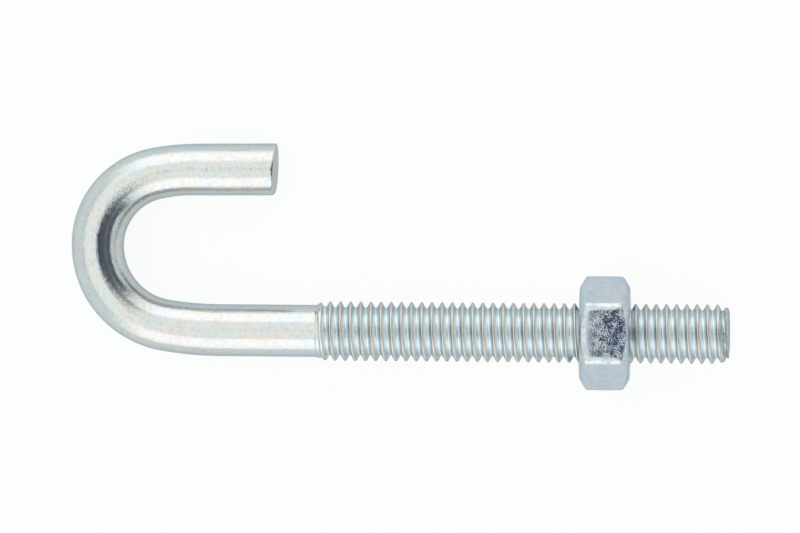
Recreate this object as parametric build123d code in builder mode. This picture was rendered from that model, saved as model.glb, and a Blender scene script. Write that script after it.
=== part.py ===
from build123d import *

import os
from math import asin, atan2, ceil, cos, hypot, radians, sin, tan

# Hook bolt: a steel rod with a rolled M6 x 1 thread, bent into a J at its plain end, with
# one hexagon nut on the thread. It lies on its side as it comes to rest: the outside of
# the bend and one flat of the nut touch the surface z = 0. +X runs from the bend towards
# the threaded end, +Y from the shank towards the hook's arm. Millimetres and degrees.

# Rod
rod_diameter = 5.1
plain_shank_end = 9.65

# Bend, as the rod meets it on its way from the shank to the arm: four tangent arcs,
# because the rod springs back a little where it leaves the bending pin at either side
bend_entry_radius = 33.7
bend_entry_turn = 9.4
bend_lower_radius = 7.98
bend_lower_turn = 81.1
bend_upper_radius = 7.14
bend_upper_turn = 77.4
bend_exit_radius = 18.9
arm_opening_angle = 0.44

# Arm, whose end is sheared off a little out of square
arm_length = 8.1
arm_shear_angle = 2.4
arm_edge_radius = 0.25

# Thread, right-handed: rolling presses its roots into the rod and raises its crests above
thread_pitch = 1.0
thread_major_diameter = 5.85
thread_root_diameter = 4.66
thread_length = 40.3
thread_first_crest = 0.172
thread_shoulder = 0.4
thread_run_out = 0.9
thread_start_depth = 0.02
thread_end_chamfer = 0.35

# Nut
nut_across_flats = 9.9
nut_thickness = 4.9
nut_corner_radius = 0.9
nut_face_diameter = 9.0
nut_chamfer_angle = 30.0
nut_countersink = 0.35
nut_distance = 25.6
nut_running_clearance = 0.05

os.makedirs("parts", exist_ok=True)

rod_radius = rod_diameter / 2
thread_radius = thread_major_diameter / 2
root_radius = thread_root_diameter / 2
bend_exit_turn = 180 - arm_opening_angle - bend_entry_turn - bend_lower_turn - bend_upper_turn
# The arm is drawn this much too long, so that the slanted cut goes through all of it
arm_waste = 2 * rod_radius * tan(radians(arm_shear_angle))


def rod_centre_line(plane):
    """The rod's middle line in a plane: plain shank along -X, round the bend, then the arm."""
    with BuildLine(plane) as line:
        shank = Line((-thread_shoulder / 2, 0), (-plain_shank_end, 0))
        entry = JernArc(shank @ 1, shank % 1, bend_entry_radius, -bend_entry_turn)
        lower = JernArc(entry @ 1, entry % 1, bend_lower_radius, -bend_lower_turn)
        upper = JernArc(lower @ 1, lower % 1, bend_upper_radius, -bend_upper_turn)
        leave = JernArc(upper @ 1, upper % 1, bend_exit_radius, -bend_exit_turn)
        Line(leave @ 1, leave @ 1 + (leave % 1) * (arm_length + arm_waste))
    return line.line


# At rest the shank slopes up from the bend to the nut, which is thicker than the rod. They
# touch the surface below the bend's far end and below the nut's edge on the hook's side.
flat_view = rod_centre_line(Plane.XY)
bend_reach = flat_view.bounding_box().min.X
half_flats = nut_across_flats / 2
flat_edge_depth = (half_flats - nut_face_diameter / 2) * tan(radians(nut_chamfer_angle))
support_span = nut_distance + flat_edge_depth - bend_reach
rest_slope = atan2(half_flats, support_span) - asin(rod_radius / hypot(support_span, half_flats))

# The origin is on the surface, below the middle of the space that the part takes up
sharp_corner = half_flats / cos(radians(30))
round_corner = sharp_corner - nut_corner_radius * (1 / cos(radians(30)) - 1)
end_face_radius = thread_radius - thread_end_chamfer
bend_side = bend_reach * cos(rest_slope) - rod_radius
thread_side = thread_length * cos(rest_slope) + end_face_radius * sin(rest_slope)
arm_side = (flat_view @ 1).Y + rod_radius
bolt_plane = Plane(
    origin=(
        -(bend_side + thread_side) / 2,
        -(arm_side - round_corner) / 2,
        rod_radius - bend_reach * sin(rest_slope),
    ),
    x_dir=(cos(rest_slope), 0, sin(rest_slope)),
    z_dir=(-sin(rest_slope), 0, cos(rest_slope)),
)
bolt_axis = Axis(bolt_plane.origin, bolt_plane.x_dir)

# Thread: a screw with sharp crests and roots, drawn about the Z axis. Its flanks are strips
# of flat facets between points along the root's and the crest's helix.
points_in_turn = 20


def helix(radius, start, steps):
    """Points along the right-hand helix of this radius that leaves the XZ plane at start."""
    points = []
    for step in range(steps + 1):
        angle = radians(360 * step / points_in_turn)
        rise = thread_pitch * step / points_in_turn
        points.append((radius * cos(angle), radius * sin(angle), start + rise))
    return points


def facets_between(lower, upper):
    """Strip of three-cornered facets between two rows of as many points."""
    facets = []
    for step in range(len(lower) - 1):
        facets.append(Face(Wire.make_polygon([lower[step], lower[step + 1], upper[step]])))
        facets.append(Face(Wire.make_polygon([lower[step + 1], upper[step + 1], upper[step]])))
    return facets


screw_start = thread_first_crest - 2.5 * thread_pitch
screw_turns = ceil((thread_length - screw_start) / thread_pitch) + 1
screw_steps = screw_turns * points_in_turn
root = helix(root_radius, screw_start, screw_steps + points_in_turn)
crest = helix(thread_radius, screw_start + thread_pitch / 2, screw_steps)
screw_faces = facets_between(root[: screw_steps + 1], crest) + facets_between(crest, root[points_in_turn:])
for end in (0, screw_steps):
    hub = (0, 0, root[end][2])
    rim = root[end : end + points_in_turn + 1] + [crest[end], root[end]]
    for corner, next_corner in zip(rim, rim[1:]):
        screw_faces.append(Face(Wire.make_polygon([hub, corner, next_corner])))

# The screw, too long at both ends, is cut by a turned profile: the cone along which its
# crests rise where the rolls ran out, room for the full crests, and the end's chamfer
screw_place = Plane(bolt_plane.origin, x_dir=bolt_plane.y_dir, z_dir=bolt_plane.x_dir)
crests_rise = Vector(-thread_shoulder, rod_radius - thread_start_depth)
crests_full = Vector(thread_run_out, thread_radius)
chamfer_start = Vector(thread_length - thread_end_chamfer, thread_radius)
chamfer_end = Vector(thread_length, end_face_radius)
with BuildPart() as thread:
    add(screw_place.location * Solid(Shell(screw_faces)))
    with BuildSketch(bolt_plane):
        with BuildLine():
            Polyline(
                (-thread_shoulder, 0),
                crests_rise,
                crests_full * 2 - crests_rise,
                chamfer_start * 2 - chamfer_end,
                chamfer_end,
                (thread_length, 0),
                close=True,
            )
        make_face()
    revolve(axis=bolt_axis, mode=Mode.INTERSECT)

# Hook bolt: plain rod, bend, arm and thread are one piece of steel
with BuildPart() as hook_bolt:
    centre_line = rod_centre_line(bolt_plane)
    with BuildSketch(Plane(centre_line @ 0, x_dir=bolt_plane.z_dir, z_dir=centre_line % 0)):
        Circle(rod_radius)
    sweep(path=centre_line)

    # The arm's end is cut a little out of square, longer on the outside of the hook
    along_arm = centre_line % 1
    arm_end = centre_line @ 1 - along_arm * arm_waste
    square_cut = Plane(arm_end, x_dir=bolt_plane.z_dir, z_dir=along_arm)
    with BuildSketch(square_cut.rotated((arm_shear_angle, 0, 0))):
        Circle(rod_diameter)
    extrude(amount=2 * arm_waste, mode=Mode.SUBTRACT)
    arm_face = hook_bolt.faces().filter_by(GeomType.PLANE).sort_by(Axis.Y)[-1]
    fillet(arm_face.edges(), arm_edge_radius)

    # The shank narrows on a cone to just under the roots, where the thread takes over
    with BuildSketch(bolt_plane):
        with BuildLine():
            Polyline(
                (-thread_shoulder / 2, 0),
                (-thread_shoulder / 2, rod_radius),
                (thread_shoulder / 2, root_radius - thread_start_depth),
                (thread_shoulder / 2, 0),
                close=True,
            )
        make_face()
    revolve(axis=bolt_axis)
    add(thread.part)
hook_bolt.part.label = "hook_bolt"

# Hexagon nut, one flat down: both faces turned to a blunt cone, bore countersunk at both
nut_origin = bolt_plane.from_local_coords(Vector(nut_distance, 0, 0))
nut_face = Plane(nut_origin, x_dir=bolt_plane.z_dir, z_dir=bolt_plane.x_dir)
with BuildPart() as hex_nut:
    with BuildSketch(nut_face) as hexagon:
        RegularPolygon(half_flats, 6, major_radius=False, rotation=30)
        fillet(hexagon.vertices(), nut_corner_radius)
    extrude(amount=nut_thickness)

    cone_depth = (sharp_corner - nut_face_diameter / 2) * tan(radians(nut_chamfer_angle))
    with BuildSketch(Plane(nut_origin, x_dir=bolt_plane.x_dir, z_dir=bolt_plane.z_dir)):
        with BuildLine():
            Polyline(
                (0, 0),
                (0, nut_face_diameter / 2),
                (cone_depth, sharp_corner),
                (nut_thickness - cone_depth, sharp_corner),
                (nut_thickness, nut_face_diameter / 2),
                (nut_thickness, 0),
                close=True,
            )
        make_face()
    revolve(axis=bolt_axis, mode=Mode.INTERSECT)

    with BuildSketch(nut_face):
        Circle(thread_radius + nut_running_clearance)
    extrude(amount=nut_thickness, mode=Mode.SUBTRACT)
    bore_rims = hex_nut.edges().filter_by(GeomType.CIRCLE).sort_by(SortBy.RADIUS)[:2]
    chamfer(bore_rims, nut_countersink)
hex_nut.part.label = "hex_nut"

export_step(hook_bolt.part, "parts/hook_bolt.step")
export_step(hex_nut.part, "parts/hex_nut.step")
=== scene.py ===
from math import cos, pi, radians, sin, tan

import bmesh
import bpy
import numpy as np
from mathutils import Matrix


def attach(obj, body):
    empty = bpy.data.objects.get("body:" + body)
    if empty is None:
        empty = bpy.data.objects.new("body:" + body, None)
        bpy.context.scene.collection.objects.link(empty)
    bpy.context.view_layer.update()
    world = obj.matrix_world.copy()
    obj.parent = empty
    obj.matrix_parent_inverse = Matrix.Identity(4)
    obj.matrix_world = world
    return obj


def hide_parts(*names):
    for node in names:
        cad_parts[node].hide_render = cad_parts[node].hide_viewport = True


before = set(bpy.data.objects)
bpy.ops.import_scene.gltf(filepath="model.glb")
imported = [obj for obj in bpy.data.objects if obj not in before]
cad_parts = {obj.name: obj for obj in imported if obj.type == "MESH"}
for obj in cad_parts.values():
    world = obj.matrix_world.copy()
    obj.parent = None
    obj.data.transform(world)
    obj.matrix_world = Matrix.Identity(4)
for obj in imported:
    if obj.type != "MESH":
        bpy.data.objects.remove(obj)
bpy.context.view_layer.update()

# Hook bolt -----------------------------------------------------------------------------
# One length of cold-drawn steel wire, 5.1 mm thick, with an M6 thread rolled on one end.
# The other end is sheared off and bent cold round a pin into a J. Bright zinc is plated
# over all of it and passivated clear.

# Where the thread starts on the bolt's axis, and the slope at which the bolt lies on its
# bend and its nut, as the solids have them. Both pieces' sizes are in millimetres.
thread_start = np.array((-8.01261, -6.38536, 3.64576))
lying_slope = 0.0502147
along_bolt = np.array((cos(lying_slope), 0, sin(lying_slope)))
across_bolt = np.array((0.0, 1.0, 0.0))
out_of_hook = np.array((-sin(lying_slope), 0, cos(lying_slope)))

# Runs of the wire on its way from the thread: the shank, four arcs, and the arm. The two
# middle arcs wrap the bending pin, and the wire springs back in the others.
wire_radius = 2.55
arc_radii = np.array((33.7, 7.98, 7.14, 18.9))
arc_turns = np.radians((9.4, 81.1, 77.4, 11.66))
run_lengths = np.array((9.65, *(arc_radii * arc_turns), 8.1))
run_bends = np.array((0, *(1 / arc_radii), 0))
wire_length = run_lengths.sum()

# The middle line in short steps, drawn on a little past the arm's end. Where one run meets
# the next, the bend changes gradually: it is the mean over easing_steps to either side. The
# shank is kept straight as far as straight_shank.
line_step = 0.01
line_spare = 3
easing_steps = 60
line_places = np.arange(0, wire_length + line_spare, line_step)
line_bends = run_bends[np.searchsorted(np.cumsum(run_lengths)[:-1], line_places)]
line_bends = np.convolve(np.pad(line_bends, easing_steps, "edge"),
                         np.ones(2 * easing_steps + 1) / (2 * easing_steps + 1), "valid")
line_headings = pi - (np.cumsum(line_bends) - line_bends / 2) * line_step
line_x = np.cumsum(np.cos(line_headings)) * line_step
line_y = np.cumsum(np.sin(line_headings)) * line_step
straight_shank = 9


def wire_line(place):
    """Middle line of the wire. place is the distance along it from the thread's start, more
    than 0 in the thread and less than 0 towards the hook. In the hook the heading is half a
    turn less the running sum of the bend, and the point is the running sum of the heading's
    cosine and sine. Gives the point and the direction across the wire in the hook's own
    plane, to the left of the way towards the thread."""
    back = np.maximum(-place, 0)
    heading = np.interp(back, line_places + line_step, line_headings)
    heading = np.where(back < straight_shank, pi, heading)
    x = np.where(place > 0, place, np.interp(back, line_places + line_step, line_x))
    y = np.where(place > 0, 0, np.interp(back, line_places + line_step, line_y))
    point = thread_start + x[..., None] * along_bolt + y[..., None] * across_bolt
    side = np.sin(heading)[..., None] * along_bolt - np.cos(heading)[..., None] * across_bolt
    return point, side


# Thread: M6 x 1 right-hand, with 60 degree flanks. The rolls press its roots into the wire,
# raise its crests above it, and round both.
pitch = 1.0
first_crest = 0.172
crest_radius = 2.925
root_radius = 2.325
crest_rounding = 0.11
root_rounding = 0.156
half_flank_angle = radians(30)
thread_end = 40.3


def softer_min(a, b, blend):
    """The smaller of a and b, with the corner between them rounded over about twice blend."""
    return (a + b - np.sqrt((a - b) ** 2 + blend**2)) / 2


def rolled_profile(turn):
    """Radius of the thread's ridge by distance from its crest, in turns: an arc over the
    crest, a straight flank that falls 1.73 for each 1 along the bolt, and an arc in the root
    half a turn away."""
    away = np.abs((turn + 0.5) % 1 - 0.5) * pitch
    to_root = pitch / 2 - away
    crest_edge = crest_rounding * cos(half_flank_angle)
    root_edge = root_rounding * cos(half_flank_angle)
    crest_arc = np.sqrt(np.maximum(crest_rounding**2 - away**2, 0))
    crest = crest_radius - crest_rounding + crest_arc
    root_arc = np.sqrt(np.maximum(root_rounding**2 - to_root**2, 0))
    root = root_radius + root_rounding - root_arc
    flank_top = crest_radius - crest_rounding * (1 - sin(half_flank_angle))
    flank = flank_top - (away - crest_edge) / tan(half_flank_angle)
    return np.where(away < crest_edge, crest, np.where(to_root < root_edge, root, flank))


# The ridge starts at the shoulder and is held under a limit and over a floor, both given by
# distance from the thread's start. The limit climbs from the wire to full height in the
# first turn and comes down over the worn tail. The floor swells at the shoulder, where the
# rolls pushed metal up, and then drops to the root.
shoulder = -0.16
limit_places = (shoulder, 0.2, 1.1, 38.9, 39.55, 40.0, 40.2, thread_end)
limit_radii = (wire_radius, 2.8, 2.94, 2.94, 2.85, 2.63, 2.54, 2.38)
floor_places = (shoulder, 0.0, 0.3, 0.45, 0.8, 1.3)
floor_radii = (wire_radius, 2.63, 2.63, 2.5, 2.37, 2.3)
limit_softness = 0.03

# Burrs of the shears round the tail, and two rings scored into it. They wander a little
# along the bolt on their way round.
burr_height = 0.02
burr_start, burr_growth = 39.5, 0.6
inner_score_place, inner_score_depth, inner_score_width = 39.66, 0.05, 0.06
outer_score_place, outer_score_depth, outer_score_width = 40.04, 0.06, 0.05
inner_wander, outer_wander = 0.06, 0.03


def bolt_radius(place, angle):
    """Radius of the bolt's surface: the wire's own up to the shoulder, then the ridge between
    its limit and its floor. At the tail the limit ripples by three sines round the edge, and
    two bell-shaped grooves are taken off."""
    turn = (place - first_crest) / pitch - angle / (2 * pi)
    limit = np.interp(place, limit_places, limit_radii)
    floor = np.interp(place, floor_places, floor_radii)
    ripple = np.sin(7 * angle + 1.3) + np.sin(17 * angle + 4.1) * np.sin(3 * angle)
    burr = burr_height * ripple * np.clip((place - burr_start) / burr_growth, 0, 1)
    inner_middle = inner_score_place + inner_wander * np.sin(angle + 1)
    outer_middle = outer_score_place - outer_wander * np.sin(2 * angle)
    scored = inner_score_depth * np.exp(-((place - inner_middle) / inner_score_width) ** 2)
    scored = scored + outer_score_depth * np.exp(
        -((place - outer_middle) / outer_score_width) ** 2)
    ridge = softer_min(rolled_profile(turn), limit + burr, limit_softness) - scored
    wire = wire_radius * (1 + bend_swell(place, angle))
    return np.where(place < shoulder, wire, np.maximum(ridge, floor))


# Bending draws the wire thin where its wrap round the pin starts and ends, and squeezes it
# thick between: place, reach to either side, and share of the wire's radius
first_thin_place, first_thin_reach = -17, 3.5
last_thin_place, last_thin_reach = -38, 2.5
thick_place, thick_reach = -30, 4
thin_share, thick_share = 0.012, 0.016


def bend_swell(place, angle):
    """Share by which bending makes the wire thicker or thinner: a bell curve along the wire
    for each of the three places, times how far the angle is across in the hook's plane."""
    across = np.abs(np.cos(angle))
    first_thin = np.exp(-((place - first_thin_place) / first_thin_reach) ** 2)
    last_thin = np.exp(-((place - last_thin_place) / last_thin_reach) ** 2)
    thick = np.exp(-((place - thick_place) / thick_reach) ** 2)
    return across * (thick_share * thick - thin_share * (first_thin + last_thin))


columns = 72
angles = np.linspace(0, 2 * pi, columns + 1)
turn_share = angles / (2 * pi)

# Places of the mesh's rows within a turn, from crest to crest, closer where it is round.
# At 0.128 the bolt's end cuts the turn.
turn_rows = np.array((0, 0.04, 0.087, 0.128, 0.2, 0.27, 0.34, 0.38, 0.42, 0.46,
                      0.5, 0.54, 0.58, 0.62, 0.66, 0.73, 0.8, 0.87, 0.913, 0.96))
turns_begun = 41
near_row = 1e-6
helix_start = first_crest - pitch
helix_end = thread_end - pitch
helix_rows = (helix_start + np.arange(turns_begun)[:, None] * pitch + turn_rows * pitch).ravel()
helix_rows = helix_rows[helix_rows < helix_end + near_row]
last_turn = helix_rows[helix_rows > helix_end - pitch - near_row] - (helix_end - pitch)

# Arm's end: sheared off 2.4 degrees out of square, its edge rounded in the barrel, more on
# one side than on the other. The slant of the rows fades out along the wire.
shear = tan(radians(2.4))
shear_held, shear_fade = 0.4, 1.5
edge_radius, edge_unevenness = 0.26, 0.08
edge_arc = np.linspace(0, pi / 2, 6)
end_rings = np.array((0, 0.3, 0.6, 0.82))

# Rows on the wire: close together behind the arm's edge and before the thread, and a
# quarter of a millimetre apart between
edge_rows = np.array((0.45, 0.6, 0.8))
even_rows_start, even_rows_end, even_row_count = 1, 0.6, 190
close_rows_start, close_row_count = 0.4, 6
wire_rows = np.concatenate((
    -wire_length + edge_rows,
    np.linspace(-wire_length + even_rows_start, helix_start - even_rows_end, even_row_count),
    np.linspace(helix_start - close_rows_start, helix_start, close_row_count)))

# Bolt's other end: a shallow dish inside the rim, by share of the rim's radius
dish_shares = np.array((0.9, 0.75, 0.5, 0.25, 0))
dish_depths = np.array((0.0, 0.01, 0.04, 0.08, 0.1))


def bolt_rows():
    """Place and share of the full radius for each row and column of the mesh. The rows run
    straight round the wire up to helix_start. Then come a wedge whose rows fan out from one
    point, rows that climb one turn for each round, as the ridge does, and a second wedge
    that closes them to the square end. Between the two ends the share is 1."""
    square = np.ones(columns + 1)
    edge = edge_radius + edge_unevenness * np.cos(angles)
    places = [
        -wire_length + np.zeros((len(end_rings), 1)) * square,
        -wire_length + edge * (1 - np.sin(pi / 2 - edge_arc))[:, None],
        wire_rows[:, None] * square,
        helix_start + turn_rows[1:, None] * pitch * turn_share,
        helix_rows[:, None] + pitch * turn_share,
        helix_end + pitch * turn_share + last_turn[1:, None] * (1 - turn_share),
        thread_end - dish_depths[:, None] * square,
    ]
    shares = [
        end_rings[:, None] * (wire_radius - edge) / wire_radius,
        (wire_radius - edge + edge * np.sin(edge_arc)[:, None]) / wire_radius,
        *[np.ones(rows.shape) for rows in places[2:6]],
        dish_shares[:, None] * square,
    ]
    return np.vstack(places), np.vstack(shares)


weld_distance = 2e-7


def closed_skin(name, points, attributes):
    """Mesh object from a grid of points in millimetres whose last column repeats the first:
    quads between neighbouring rows and columns, then the seam and the poles are welded, by
    weld_distance in metres. attributes are grids kept with the points, under their names."""
    rows, cols = points.shape[:2]
    index = np.arange(rows * cols).reshape(rows, cols)
    quads = np.stack((index[:-1, :-1], index[:-1, 1:], index[1:, 1:], index[1:, :-1]), -1)
    mesh = bpy.data.meshes.new(name)
    mesh.from_pydata(points.reshape(-1, 3) / 1000, [], quads.reshape(-1, 4))
    for label, values in attributes.items():
        layer = mesh.attributes.new(label, "FLOAT_VECTOR", "POINT")
        layer.data.foreach_set("vector", values.reshape(-1).astype(np.float32))
    shell = bmesh.new()
    shell.from_mesh(mesh)
    bmesh.ops.remove_doubles(shell, verts=shell.verts, dist=weld_distance)
    shell.to_mesh(mesh)
    shell.free()
    mesh.shade_smooth()
    skin = bpy.data.objects.new(name, mesh)
    bpy.context.scene.collection.objects.link(skin)
    return skin


places, shares = bolt_rows()
sheared = np.clip(1 - (places + wire_length - shear_held) / shear_fade, 0, 1)
points, sides = wire_line(places + shear * wire_radius * shares * np.cos(angles) * sheared)
radii = bolt_radius(places, np.broadcast_to(angles, places.shape)) * shares
around = np.cos(angles)[:, None] * sides + np.sin(angles)[:, None] * out_of_hook

# Two attributes for the material: straight_wire, the place on the wire as if it had never
# been bent, in millimetres, and ridge, whose X is the height from root to crest, Y the
# distance from the crest, which is 1 and -1 in the roots, and Z how far the thread has begun.
thread_look_starts, thread_look_blend = 0.1, 0.6
turns = (places - first_crest) / pitch - turn_share
height = np.clip((radii - root_radius) / (crest_radius - root_radius), 0, 1)
in_thread = np.clip((places - thread_look_starts) / thread_look_blend, 0, 1)
hook_bolt = closed_skin("bent_rod", points + radii[..., None] * around, {
    "straight_wire": np.stack((places, radii * np.cos(angles), radii * np.sin(angles)), -1),
    "ridge": np.stack((height, 2 * ((turns + 0.5) % 1 - 0.5), in_thread), -1),
})


def linear(hex_colour):
    """sRGB hex to the linear colour that shaders use."""
    srgb = np.array([int(hex_colour[i:i + 2], 16) for i in (1, 3, 5)]) / 255
    return (*np.where(srgb <= 0.04045, srgb / 12.92, ((srgb + 0.055) / 1.055) ** 2.4), 1)


def node(material, kind, inputs, **settings):
    """Adds a node: settings are its own properties, inputs are its sockets' values, or the
    sockets that feed them."""
    made = material.node_tree.nodes.new(kind)
    for name, value in settings.items():
        setattr(made, name, value)
    for name, value in inputs.items():
        if isinstance(value, bpy.types.NodeSocket):
            material.node_tree.links.new(value, made.inputs[name])
        else:
            made.inputs[name].default_value = value
    return made


# Zinc, electroplated bright and passivated clear, on drawn wire. The eye gets a soft
# mirror, silvery with clouds of straw and blue, fine lines along the wire from the
# drawing die, and a bluer tint in the thread's roots than on its crests.
zinc_rod = bpy.data.materials.new("bright_zinc_on_drawn_wire")
zinc_rod.use_nodes = True
surface = zinc_rod.node_tree.nodes["Principled BSDF"]
surface.inputs["Metallic"].default_value = 1.0
wire_place = node(zinc_rod, "ShaderNodeAttribute", {}, attribute_name="straight_wire")
wire_parts = node(zinc_rod, "ShaderNodeSeparateXYZ", {"Vector": wire_place.outputs["Vector"]})
ridge_place = node(zinc_rod, "ShaderNodeAttribute", {}, attribute_name="ridge")
ridge_parts = node(zinc_rod, "ShaderNodeSeparateXYZ", {"Vector": ridge_place.outputs["Vector"]})

# clouds of the passivate: blue, silver, straw and mauve
cloud_length = 2.5
clouds = node(zinc_rod, "ShaderNodeTexNoise", {
    "Vector": wire_place.outputs["Vector"], "Scale": 1 / cloud_length, "Detail": 5.0})
cloud_colour = node(zinc_rod, "ShaderNodeValToRGB", {"Fac": clouds.outputs[0]})
ramp = cloud_colour.color_ramp
ramp.elements[0].position, ramp.elements[0].color = 0.34, linear("#CCD3D8")
ramp.elements[1].position, ramp.elements[1].color = 0.68, linear("#D1CED2")
silver_stop = ramp.elements.new(0.47)
silver_stop.color = linear("#D2D5D4")
straw_stop = ramp.elements.new(0.57)
straw_stop.color = linear("#D5D4CE")

# grey stains where the rinse dried
stain_size = 0.4
stains = node(zinc_rod, "ShaderNodeTexNoise", {
    "Vector": wire_place.outputs["Vector"], "Scale": 1 / stain_size, "Detail": 4.0,
    "Roughness": 0.65})
stain_share = node(zinc_rod, "ShaderNodeMapRange", {
    "Value": stains.outputs[0], "From Min": 0.48, "From Max": 0.66, "To Max": 0.35})
stained = node(zinc_rod, "ShaderNodeMix", {
    "Factor": stain_share.outputs["Result"], "A": cloud_colour.outputs["Color"],
    "B": linear("#B4B6B2")}, data_type="RGBA")

# the arm's sheared end took a greyer coat, which starts on its rounded edge
coat_starts, coat_whole = 0.15, 0.04
sheared_share = node(zinc_rod, "ShaderNodeMapRange", {
    "Value": wire_parts.outputs["X"], "From Min": float(coat_starts - wire_length),
    "From Max": float(coat_whole - wire_length)})
wire_colour = node(zinc_rod, "ShaderNodeMix", {
    "Factor": sheared_share.outputs["Result"], "A": stained.outputs["Result"],
    "B": linear("#CCCECA")}, data_type="RGBA")

# on the thread the roots are bluer than the crests
ridge_colour = node(zinc_rod, "ShaderNodeValToRGB", {"Fac": ridge_parts.outputs["X"]})
ramp = ridge_colour.color_ramp
ramp.elements[0].position, ramp.elements[0].color = 0.2, linear("#E3ECEF")
ramp.elements[1].position, ramp.elements[1].color = 0.95, linear("#DAD6D6")

# pink, straw and green of a thicker passivate, where the crests dried last
film_length = 1.5
film = node(zinc_rod, "ShaderNodeTexNoise", {
    "Vector": wire_place.outputs["Vector"], "Scale": 1 / film_length, "Detail": 2.0})
film_colour = node(zinc_rod, "ShaderNodeValToRGB", {"Fac": film.outputs[0]})
ramp = film_colour.color_ramp
ramp.elements[0].position, ramp.elements[0].color = 0.36, linear("#E0C6BE")
ramp.elements[1].position, ramp.elements[1].color = 0.64, linear("#CFDCCB")
middle_stop = ramp.elements.new(0.5)
middle_stop.color = linear("#E2D9B4")
film_share = node(zinc_rod, "ShaderNodeMapRange", {
    "Value": ridge_parts.outputs["X"], "From Min": 0.45, "From Max": 0.95, "To Max": 0.4})
ridge_film = node(zinc_rod, "ShaderNodeMix", {
    "Factor": film_share.outputs["Result"], "A": ridge_colour.outputs["Color"],
    "B": film_colour.outputs["Color"]}, data_type="RGBA")
colour = node(zinc_rod, "ShaderNodeMix", {
    "Factor": ridge_parts.outputs["Z"], "A": wire_colour.outputs["Result"],
    "B": ridge_film.outputs["Result"]}, data_type="RGBA")

# over the last millimetre the zinc is thin and scuffed to grey, in specks
scuff_size = 0.15
near_tail = node(zinc_rod, "ShaderNodeMapRange", {
    "Value": wire_parts.outputs["X"], "From Min": thread_end - 1, "From Max": thread_end,
    "To Max": 0.75})
scuffs = node(zinc_rod, "ShaderNodeTexNoise", {
    "Vector": wire_place.outputs["Vector"], "Scale": 1 / scuff_size})
scuff_share = node(zinc_rod, "ShaderNodeMapRange", {
    "Value": scuffs.outputs[0], "From Min": 0.42, "From Max": 0.58, "To Min": 0.25,
    "To Max": 1.0})
scuffed = node(zinc_rod, "ShaderNodeMath", {
    0: near_tail.outputs["Result"], 1: scuff_share.outputs["Result"]}, operation="MULTIPLY")
tail_colour = node(zinc_rod, "ShaderNodeMix", {
    "Factor": scuffed.outputs[0], "A": colour.outputs["Result"], "B": linear("#757275")},
    data_type="RGBA")
zinc_rod.node_tree.links.new(tail_colour.outputs["Result"], surface.inputs["Base Color"])

# seen at a flat angle the reflection is tinted blue and darkened, painted shade for the shaded
# table that the edges mirror; the tint is grey on the crests, the tail and the sheared end
crest_share = node(zinc_rod, "ShaderNodeMapRange", {
    "Value": ridge_parts.outputs["X"], "From Min": 0.3, "From Max": 0.8, "To Max": 1.0})
thread_crest = node(zinc_rod, "ShaderNodeMath", {
    0: crest_share.outputs["Result"], 1: ridge_parts.outputs["Z"]}, operation="MULTIPLY")
end_share = node(zinc_rod, "ShaderNodeMath", {
    0: near_tail.outputs["Result"], 1: sheared_share.outputs["Result"]}, operation="MAXIMUM")
grey_share = node(zinc_rod, "ShaderNodeMath", {
    0: thread_crest.outputs[0], 1: end_share.outputs[0]}, operation="MAXIMUM")
flat_angle_painted_shade = node(zinc_rod, "ShaderNodeMix", {
    "Factor": grey_share.outputs[0], "A": linear("#C4DAE4"), "B": linear("#CFD0CF")},
    data_type="RGBA")
zinc_rod.node_tree.links.new(flat_angle_painted_shade.outputs["Result"], surface.inputs["Specular Tint"])

# the wire came bright from the die, and the thread a little duller from the rolls
gloss = node(zinc_rod, "ShaderNodeMapRange", {
    "Value": ridge_parts.outputs["Z"], "To Min": 0.08, "To Max": 0.3})
zinc_rod.node_tree.links.new(gloss.outputs["Result"], surface.inputs["Roughness"])

# Bump, with its depths in metres. Drawing lines: really some hundredths of a millimetre
# apart, drawn coarser so that they show.
die_line_length, die_line_spacing, die_line_depth = 6, 0.15, 5e-6
die_lines_place = node(zinc_rod, "ShaderNodeMapping", {
    "Vector": wire_place.outputs["Vector"],
    "Scale": (1 / die_line_length, 1 / die_line_spacing, 1 / die_line_spacing)})
die_lines = node(zinc_rod, "ShaderNodeTexNoise", {
    "Vector": die_lines_place.outputs["Vector"], "Scale": 1.0})
die_bump = node(zinc_rod, "ShaderNodeBump", {
    "Height": die_lines.outputs[0], "Distance": die_line_depth})

# Mottling, and zinc grain, which is really a few hundredths of a millimetre wide and drawn
# coarser so that it shows. Both are deeper in the hook, where bending stretched the wire
# and roughened its skin.
mottle_size, mottle_depth, bent_mottle_depth = 0.45, 1.1e-5, 1.4e-5
grain_size, grain_depth, bent_grain_depth = 0.15, 9e-6, 1.5e-5
roughening_starts, roughening_whole = -12.0, -20.0
mottle = node(zinc_rod, "ShaderNodeTexNoise", {
    "Vector": wire_place.outputs["Vector"], "Scale": 1 / mottle_size, "Detail": 3.0})
mottle_reach = node(zinc_rod, "ShaderNodeMapRange", {
    "Value": wire_parts.outputs["X"], "From Min": roughening_starts,
    "From Max": roughening_whole, "To Min": mottle_depth, "To Max": bent_mottle_depth})
mottle_bump = node(zinc_rod, "ShaderNodeBump", {
    "Height": mottle.outputs[0], "Distance": mottle_reach.outputs["Result"],
    "Normal": die_bump.outputs["Normal"]})
grain = node(zinc_rod, "ShaderNodeTexNoise", {
    "Vector": wire_place.outputs["Vector"], "Scale": 1 / grain_size, "Detail": 2.0})
grain_reach = node(zinc_rod, "ShaderNodeMapRange", {
    "Value": wire_parts.outputs["X"], "From Min": roughening_starts,
    "From Max": roughening_whole, "To Min": grain_depth, "To Max": bent_grain_depth})
grain_bump = node(zinc_rod, "ShaderNodeBump", {
    "Height": grain.outputs[0], "Distance": grain_reach.outputs["Result"],
    "Normal": mottle_bump.outputs["Normal"]})

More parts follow.
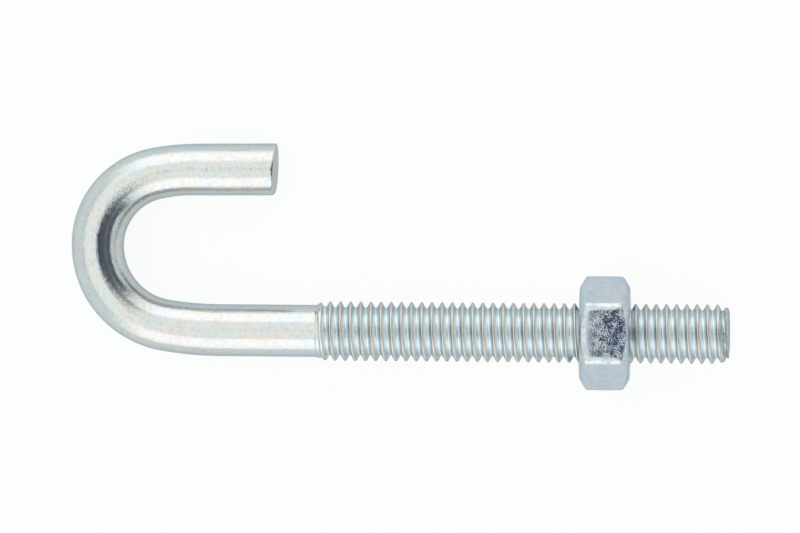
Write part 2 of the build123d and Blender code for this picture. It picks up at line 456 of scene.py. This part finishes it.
# Lines that the thread rolls leave along the ridge, really a few hundredths of a millimetre
# apart, drawn four to a flank, 0.12 mm apart, so that they show. They last 2.5 mm along the
# ridge and change by 0.8 of their pattern with each turn.
lines_on_flank, line_change, roll_line_length, roll_line_depth = 4.0, 0.8, 2.5, 1.5e-5
from_crest = node(zinc_rod, "ShaderNodeMath", {0: ridge_parts.outputs["Y"]},
                  operation="ABSOLUTE")
line_number = node(zinc_rod, "ShaderNodeMath", {
    0: from_crest.outputs[0], 1: lines_on_flank}, operation="MULTIPLY")
line_place = node(zinc_rod, "ShaderNodeMath", {
    0: wire_parts.outputs["X"], 1: line_change, 2: line_number.outputs[0]},
    operation="MULTIPLY_ADD")
roll_place = node(zinc_rod, "ShaderNodeCombineXYZ", {
    "X": line_place.outputs[0], "Y": wire_parts.outputs["Y"], "Z": wire_parts.outputs["Z"]})
roll_stretch = node(zinc_rod, "ShaderNodeMapping", {
    "Vector": roll_place.outputs["Vector"],
    "Scale": (1, 1 / roll_line_length, 1 / roll_line_length)})
roll_lines = node(zinc_rod, "ShaderNodeTexNoise", {
    "Vector": roll_stretch.outputs["Vector"], "Scale": 1.0})
roll_reach = node(zinc_rod, "ShaderNodeMapRange", {
    "Value": ridge_parts.outputs["Z"], "To Min": 0.0, "To Max": roll_line_depth})
roll_bump = node(zinc_rod, "ShaderNodeBump", {
    "Height": roll_lines.outputs[0], "Distance": roll_reach.outputs["Result"],
    "Normal": grain_bump.outputs["Normal"]})
zinc_rod.node_tree.links.new(roll_bump.outputs["Normal"], surface.inputs["Normal"])
hook_bolt.data.materials.append(zinc_rod)

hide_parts("hook_bolt")
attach(hook_bolt, "bolt")

# Hexagon nut ---------------------------------------------------------------------------
# Cold-formed M6 steel nut, 9.9 mm across flats, with a blunt cone on both faces and a
# tapped bore. It is plated in the same way as the wire, duller and bluer, and sits loose
# on the bolt's thread.

# Where the nut's face on the hook's side is, from the thread's start, and the nut's sizes
nut_place = 25.6
half_flats = 4.95
nut_thickness = 4.9
corner_rounding = 0.9
face_radius = 4.5
cone_slope = tan(radians(30))
countersink_radius = 3.32
tapped_radius = 2.5

# How far the flats' ends lie below their middle, and how soft the corner between the cone
# and the flats is, on the hook's side and on the other
flat_crown = 0.028
near_softness, far_softness = 0.15, 0.22

# The play in the thread lets the nut tip towards lying flat on the table, sink towards it
# and slide along the bolt by this much
thread_play = 0.24
nut_tip = radians(2.0)
nut_drop = 0.05
nut_shift = 0.1

# Columns of the mesh: nine on each flat and five round each corner, and the first again
flat_sixth = np.concatenate((np.linspace(-24, 24, 9), np.linspace(26, 34, 5)))
nut_angles = np.radians(np.append((flat_sixth + 60 * np.arange(6)[:, None]).ravel(), 336))


def hexagon_radius(angle):
    """Distance from the axis to a hexagon with rounded corners: half_flats over the cosine
    of the angle from the nearest flat's middle, and near a corner the arc of corner_rounding
    about its own centre."""
    off = np.abs((angle + pi / 6) % (pi / 3) - pi / 6)
    centre = (half_flats - corner_rounding) / cos(pi / 6)
    arc_start = np.arctan((half_flats - corner_rounding) * tan(pi / 6) / half_flats)
    to_corner = pi / 6 - off
    inside = corner_rounding**2 - (centre * np.sin(to_corner)) ** 2
    arc = centre * np.cos(to_corner) + np.sqrt(np.maximum(inside, 0))
    return np.where(off < arc_start, half_flats / np.cos(off), arc)


# Rows of the nut's profile: over the face; round its rim, in radius from it; across the
# cone, in share of its width; over the corner between cone and flats, in depth from it; and
# on to the middle of the flats, in share of what is left
face_row_count = 4
rim_width, rim_softness = 0.1, 0.02
rim_rows = np.array((-0.05, 0, 0.05, rim_width))
cone_rows = np.array((0.33, 0.67, 1))
corner_room = 0.1
corner_rows = np.array((-0.04, -0.015, 0.015, 0.05, 0.1, 0.18))
flat_rows = np.array((0.2, 0.45, 0.7, 1))


def nut_half(angle, softness):
    """Profile of half the nut's outside, from the countersink over the face and the cone to
    the middle of the flats, in rows of depth from the face and of radius. The cone's depth
    is cone_slope times the radius beyond face_radius. It meets each flat at its own depth,
    so the rows there move with the angle. The flats fall off by flat_crown times the square
    of the way from their middle, and the corner is the softer smaller of cone and flat."""
    hexagon = hexagon_radius(angle)
    meet = (hexagon - face_radius) * cone_slope
    face = np.linspace(countersink_radius, face_radius - rim_width, face_row_count)
    face = face[:, None] + 0 * angle
    rim = face_radius + rim_rows[:, None] + 0 * angle
    cone_width = hexagon - corner_room - face_radius - rim_width
    cone = face_radius + rim_width + cone_rows[:, None] * cone_width
    sloped = np.vstack((rim, cone))
    over = (sloped - face_radius) * cone_slope
    sloped_depth = (over + np.sqrt(over**2 + rim_softness**2)) / 2
    near = meet + corner_rows[:, None]
    flats = near[-1] + flat_rows[:, None] * (nut_thickness / 2 - near[-1])
    beyond = np.vstack((near, flats))
    depth = np.vstack((sloped_depth, beyond))
    crowned = hexagon - flat_crown * (1 - depth / (nut_thickness / 2)) ** 2
    coned = np.vstack((sloped, face_radius + beyond / cone_slope))
    radius = softer_min(crowned, coned, softness)
    return np.vstack((0 * face, depth)), np.vstack((face, radius))


def bore_radius(depth, angle):
    """Radius of the tapped bore: the bolt's own ridge with play, no nearer to the axis than
    tapped_radius, and opened by a countersink at both faces. The nut's angle starts a
    quarter turn behind the bolt's."""
    along = nut_place + nut_shift + depth
    turn = (along - first_crest) / pitch - (angle + pi / 2) / (2 * pi)
    ridge = np.maximum(rolled_profile(turn) + thread_play, tapped_radius)
    from_face = np.minimum(depth, nut_thickness - depth)
    return np.maximum(ridge, countersink_radius - from_face)


bore_row_count = 118
near_depth, near_radius = nut_half(nut_angles, near_softness)
far_depth, far_radius = nut_half(nut_angles, far_softness)
bore_depth = np.linspace(0, nut_thickness, bore_row_count)[:, None] + 0 * nut_angles
bore = bore_radius(bore_depth, nut_angles)
depths = np.vstack((near_depth, nut_thickness - far_depth[-2::-1], bore_depth[::-1]))
radii = np.vstack((near_radius, far_radius[-2::-1], bore[::-1]))
along_nut = cos(nut_tip) * along_bolt - sin(nut_tip) * out_of_hook
out_of_nut = cos(nut_tip) * out_of_hook + sin(nut_tip) * along_bolt
around = np.cos(nut_angles)[:, None] * out_of_nut - np.sin(nut_angles)[:, None] * across_bolt
nut_middle = thread_start + (nut_place + nut_thickness / 2 + nut_shift) * along_bolt
nut_middle = nut_middle - nut_drop * out_of_hook
axis_points = nut_middle + (depths - nut_thickness / 2)[..., None] * along_nut
hex_nut = closed_skin("tapped_nut", axis_points + radii[..., None] * around, {
    "round_nut": np.stack((depths, radii * np.cos(nut_angles), radii * np.sin(nut_angles)), -1),
})

# Zinc, electroplated over a cold-formed blank. The eye gets blue-grey faces that mirror
# softly, broken up by a fine dimpled grain.
zinc_nut = bpy.data.materials.new("bright_zinc_on_formed_nut")
zinc_nut.use_nodes = True
surface = zinc_nut.node_tree.nodes["Principled BSDF"]
surface.inputs["Metallic"].default_value = 1.0
# at a flat angle the reflection is tinted blue and darkened, painted shade for the shaded table
# that the nut's sides mirror
surface.inputs["Specular Tint"].default_value = linear("#C4DAE4")
on_nut = node(zinc_nut, "ShaderNodeAttribute", {}, attribute_name="round_nut")

cloud_length = 2.0
clouds = node(zinc_nut, "ShaderNodeTexNoise", {
    "Vector": on_nut.outputs["Vector"], "Scale": 1 / cloud_length, "Detail": 3.0})
cloud_colour = node(zinc_nut, "ShaderNodeValToRGB", {"Fac": clouds.outputs[0]})
ramp = cloud_colour.color_ramp
ramp.elements[0].position, ramp.elements[0].color = 0.35, linear("#CAD4DB")
ramp.elements[1].position, ramp.elements[1].color = 0.65, linear("#D3D6D8")
zinc_nut.node_tree.links.new(cloud_colour.outputs["Color"], surface.inputs["Base Color"])

# pits of the tumbled blank, crowded into patches and duller inside, over faint waves. The
# depths are in metres.
pit_size, pit_depth, wave_depth = 0.12, 1.8e-5, 4e-6
patch_size, patch_share = 0.8, 0.5
pits = node(zinc_nut, "ShaderNodeTexNoise", {
    "Vector": on_nut.outputs["Vector"], "Scale": 1 / pit_size, "Detail": 4.0,
    "Roughness": 0.7})
patches = node(zinc_nut, "ShaderNodeTexNoise", {
    "Vector": on_nut.outputs["Vector"], "Scale": 1 / patch_size, "Detail": 2.0})
crowding = node(zinc_nut, "ShaderNodeMath", {
    0: patches.outputs[0], 1: patch_share, 2: pits.outputs[0]}, operation="MULTIPLY_ADD")
pitted = node(zinc_nut, "ShaderNodeMapRange", {
    "Value": crowding.outputs[0], "From Min": 0.79, "From Max": 0.92},
    interpolation_type="SMOOTHSTEP")
gloss = node(zinc_nut, "ShaderNodeMapRange", {
    "Value": pitted.outputs["Result"], "To Min": 0.07, "To Max": 0.2})
zinc_nut.node_tree.links.new(gloss.outputs["Result"], surface.inputs["Roughness"])
waves_bump = node(zinc_nut, "ShaderNodeBump", {
    "Height": pits.outputs[0], "Distance": wave_depth})
pit_bump = node(zinc_nut, "ShaderNodeBump", {
    "Height": pitted.outputs["Result"], "Distance": pit_depth,
    "Normal": waves_bump.outputs["Normal"]})
zinc_nut.node_tree.links.new(pit_bump.outputs["Normal"], surface.inputs["Normal"])
hex_nut.data.materials.append(zinc_nut)

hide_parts("hex_nut")
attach(hex_nut, "nut")

# Table and light tent ------------------------------------------------------------------
# The bolt lies on a white table inside a light tent: an even white sky, a brighter diffuser
# along each long side, and the dark opening that the photograph is taken through. From
# here on sizes are in metres.


def card(name, corners, colour_code):
    """Flat card through its corners, with one matt colour, as part of the stage."""
    mesh = bpy.data.meshes.new(name)
    mesh.from_pydata(corners, [], [tuple(range(len(corners)))])
    paint = bpy.data.materials.new(name + "_paint")
    paint.use_nodes = True
    coat = paint.node_tree.nodes["Principled BSDF"]
    coat.inputs["Base Color"].default_value = linear(colour_code)
    coat.inputs["Roughness"].default_value = 1.0
    coat.inputs["Specular IOR Level"].default_value = 0.0
    mesh.materials.append(paint)
    made = bpy.data.objects.new(name, mesh)
    bpy.context.scene.collection.objects.link(made)
    return made


# The table is white paint where the bolt's shadow falls. To the camera most of it glows
# white instead, and about half of it does in the bolt's own reflections.
camera_white, mirrored_white = 0.92, 0.52
table = card("table", [(-3, -3, 0), (3, -3, 0), (3, 3, 0), (-3, 3, 0)], "#F2FBFF")
table_paint = table.data.materials[0]
seen = node(table_paint, "ShaderNodeLightPath", {})
mirrored = node(table_paint, "ShaderNodeMath", {
    0: seen.outputs["Is Glossy Ray"], 1: seen.outputs["Is Transmission Ray"]},
    operation="MAXIMUM")
mirrored_share = node(table_paint, "ShaderNodeMath", {
    0: mirrored.outputs[0], 1: mirrored_white}, operation="MULTIPLY")
part_white = node(table_paint, "ShaderNodeMath", {
    0: seen.outputs["Is Camera Ray"], 1: camera_white, 2: mirrored_share.outputs[0]},
    operation="MULTIPLY_ADD")
white = node(table_paint, "ShaderNodeEmission", {"Strength": 1.0})
blended = node(table_paint, "ShaderNodeMixShader", {
    0: part_white.outputs[0],
    1: table_paint.node_tree.nodes["Principled BSDF"].outputs[0],
    2: white.outputs[0]})
table_paint.node_tree.links.new(
    blended.outputs[0], table_paint.node_tree.nodes["Material Output"].inputs["Surface"])

# The tent's wall is a cylinder round the bolt. Its cloth glows by the direction from the
# bolt: brightest to both sides, paler to the left, dim low on the right, and dark above
# that, where the opening is. The glows are red, green and blue, and the directions are
# degrees, round from +X to either side and down from the zenith.
wall_radius, wall_height = 0.9, 1.15
wall_columns, wall_rows = 121, 70
side_directions, side_glows = (38, 42, 72, 80, 90), (1.2, 1.5, 1.5, 1.4, 1.25)
left_glow, low_left_glow = np.array((1.14, 1.18, 1.14)), np.array((0.83, 0.95, 0.98))
low_left_starts, low_left_blend = 62, 3
seam_place, seam_width, seam_strength = 63.3, 1.1, 0.7
right_glow, low_right_glow = np.array((0.77, 0.88, 0.87)), np.array((0.62, 0.69, 0.66))
low_right_starts, low_right_blend = 72, 6
right_ends, left_starts = (50, 84), (116, 142)

# The opening reaches down to its foot, which dips on either side of its middle part
opening_foot, foot_blend = 60, 3
foot_dip, dip_starts, dip_width = 12, 30, 18
opening_half_width, opening_blend = 52, 6
lens_half_width, lens_blend = 16, 8
opening_glow, lens_glow = np.array((0.13, 0.14, 0.17)), np.array((0.1, 0.125, 0.18))


def wall_glow(azimuth, zenith_angle):
    """Colour that the cloth glows in, by degrees round from +X and down from the zenith.
    Between a pale left and a dim right it rises to a plateau at either side, which sinks a
    little towards the table. A seam crosses the left as a bell curve. The opening, where the
    direction is above the foot and within the half width, is cut out of the right, and all
    steps are straight ramps over the blends."""
    off_axis = np.abs(azimuth)[..., None]
    from_top = zenith_angle[..., None]
    low_left = np.clip((from_top - low_left_starts) / low_left_blend, 0, 1)
    left = (1 - low_left) * left_glow + low_left * low_left_glow
    seam = seam_strength * np.exp(-((from_top - seam_place) / seam_width) ** 2)
    left = left * (1 - seam)
    low_right = np.clip((from_top - low_right_starts) / low_right_blend, 0, 1)
    right = (1 - low_right) * right_glow + low_right * low_right_glow
    sides = np.interp(from_top, side_directions, side_glows) * np.ones(3)
    to_right = np.interp(off_axis, right_ends, (1, 0))
    to_left = np.interp(off_axis, left_starts, (0, 1))
    glow = sides + (right - sides) * to_right + (left - sides) * to_left
    foot = opening_foot + foot_dip * (np.clip(off_axis - dip_starts, 0, None) / dip_width) ** 2
    above_foot = np.clip((foot - from_top) / foot_blend + 0.5, 0, 1)
    within = np.clip((opening_half_width - off_axis) / opening_blend + 0.5, 0, 1)
    opening = above_foot * within
    middle = np.clip((lens_half_width - off_axis) / lens_blend, 0, 1)
    dark = (1 - middle) * opening_glow + middle * lens_glow
    return glow * (1 - opening) + dark * opening


wall_azimuth = np.linspace(-180, 180, wall_columns) + np.zeros((wall_rows, 1))
wall_z = np.linspace(0, wall_height, wall_rows)[:, None] + 0 * wall_azimuth
wall_x = wall_radius * np.cos(np.radians(wall_azimuth))
wall_y = wall_radius * np.sin(np.radians(wall_azimuth))
tent_wall = closed_skin("tent_wall", np.stack((wall_x, wall_y, wall_z), -1) * 1000, {
    "glow": wall_glow(wall_azimuth, np.degrees(np.arctan2(wall_radius, wall_z)))})
cloth = bpy.data.materials.new("glowing_tent_cloth")
cloth.use_nodes = True
# the bolt finds this light by its reflections, and sampling every face of it would be slow
cloth.cycles.emission_sampling = "NONE"
cloth_glow = node(cloth, "ShaderNodeAttribute", {}, attribute_name="glow")
cloth_light = node(cloth, "ShaderNodeEmission", {
    "Color": cloth_glow.outputs["Color"], "Strength": 1.0})
cloth.node_tree.links.new(
    cloth_light.outputs[0], cloth.node_tree.nodes["Material Output"].inputs["Surface"])
tent_wall.data.materials.append(cloth)
tent_wall.visible_camera = False

# Above the wall's top the opening goes on as a dark card, with the cloth's shaded edge
# behind it and the lens in front
opening_outline = [(-0.13, 0), (-0.12, 0.03), (-0.1, 0.055), (-0.04, 0.085), (0.03, 0.16),
                   (0.14, 0.26), (0.4, 0.6), (0.66, 0.87), (0.991, 0.462), (1.1, 0)]
shade_outline = [(-0.03, 0), (-0.03, 0.1), (0.05, 0.28), (0.09, 0.42), (0.13, 0.75),
                 (0.25, 0.98), (0.5, 0.95), (0.66, 0.87), (0.7, 0)]
lens_middle, lens_radius = 0.083, 0.2
lens_outline = [(lens_middle - lens_radius * cos(turn), lens_radius * sin(turn))
                for turn in np.linspace(0, pi, 17)]


def overhead_card(name, half_outline, z, colour_code):
    """Level card at height z from its outline on the side of +Y, which is mirrored to the
    other. The camera looks through it."""
    mirrored_half = [(x, -y) for x, y in half_outline[-2:0:-1]]
    made = card(name, [(x, y, z) for x, y in half_outline + mirrored_half], colour_code)
    made.visible_camera = False


overhead_card("tent_opening", opening_outline, 1.4, "#6C707A")
overhead_card("shaded_cloth", shade_outline, 1.42, "#BEC1C4")
overhead_card("lens_front", lens_outline, 1.38, "#454F70")

sky = bpy.data.worlds.new("tent_sky")
bpy.context.scene.world = sky
sky.use_nodes = True
sky.node_tree.nodes["Background"].inputs["Color"].default_value = linear("#FCFFFC")
sky.node_tree.nodes["Background"].inputs["Strength"].default_value = 1.18

# Camera: a long lens nearly straight above, leaning 1.9 degrees towards the thread's end
lens = bpy.data.cameras.new("long_lens")
lens.sensor_width = 36
lens.lens = 404
lens.clip_end = 10
camera = bpy.data.objects.new("long_lens", lens)
lean, roll, reach = radians(1.9), radians(0.437), 0.88
aim = np.array((-0.03, -0.005, 4.05)) / 1000
back = np.array((sin(lean), 0, cos(lean)))
camera.location = aim + back * reach
camera.rotation_mode = "QUATERNION"
upright = Matrix.Rotation(lean, 3, "Y") @ Matrix.Rotation(roll, 3, "Z")
camera.rotation_quaternion = upright.to_quaternion()
bpy.context.scene.collection.objects.link(camera)
bpy.context.scene.camera = camera

bpy.context.scene.view_settings.view_transform = "Standard"
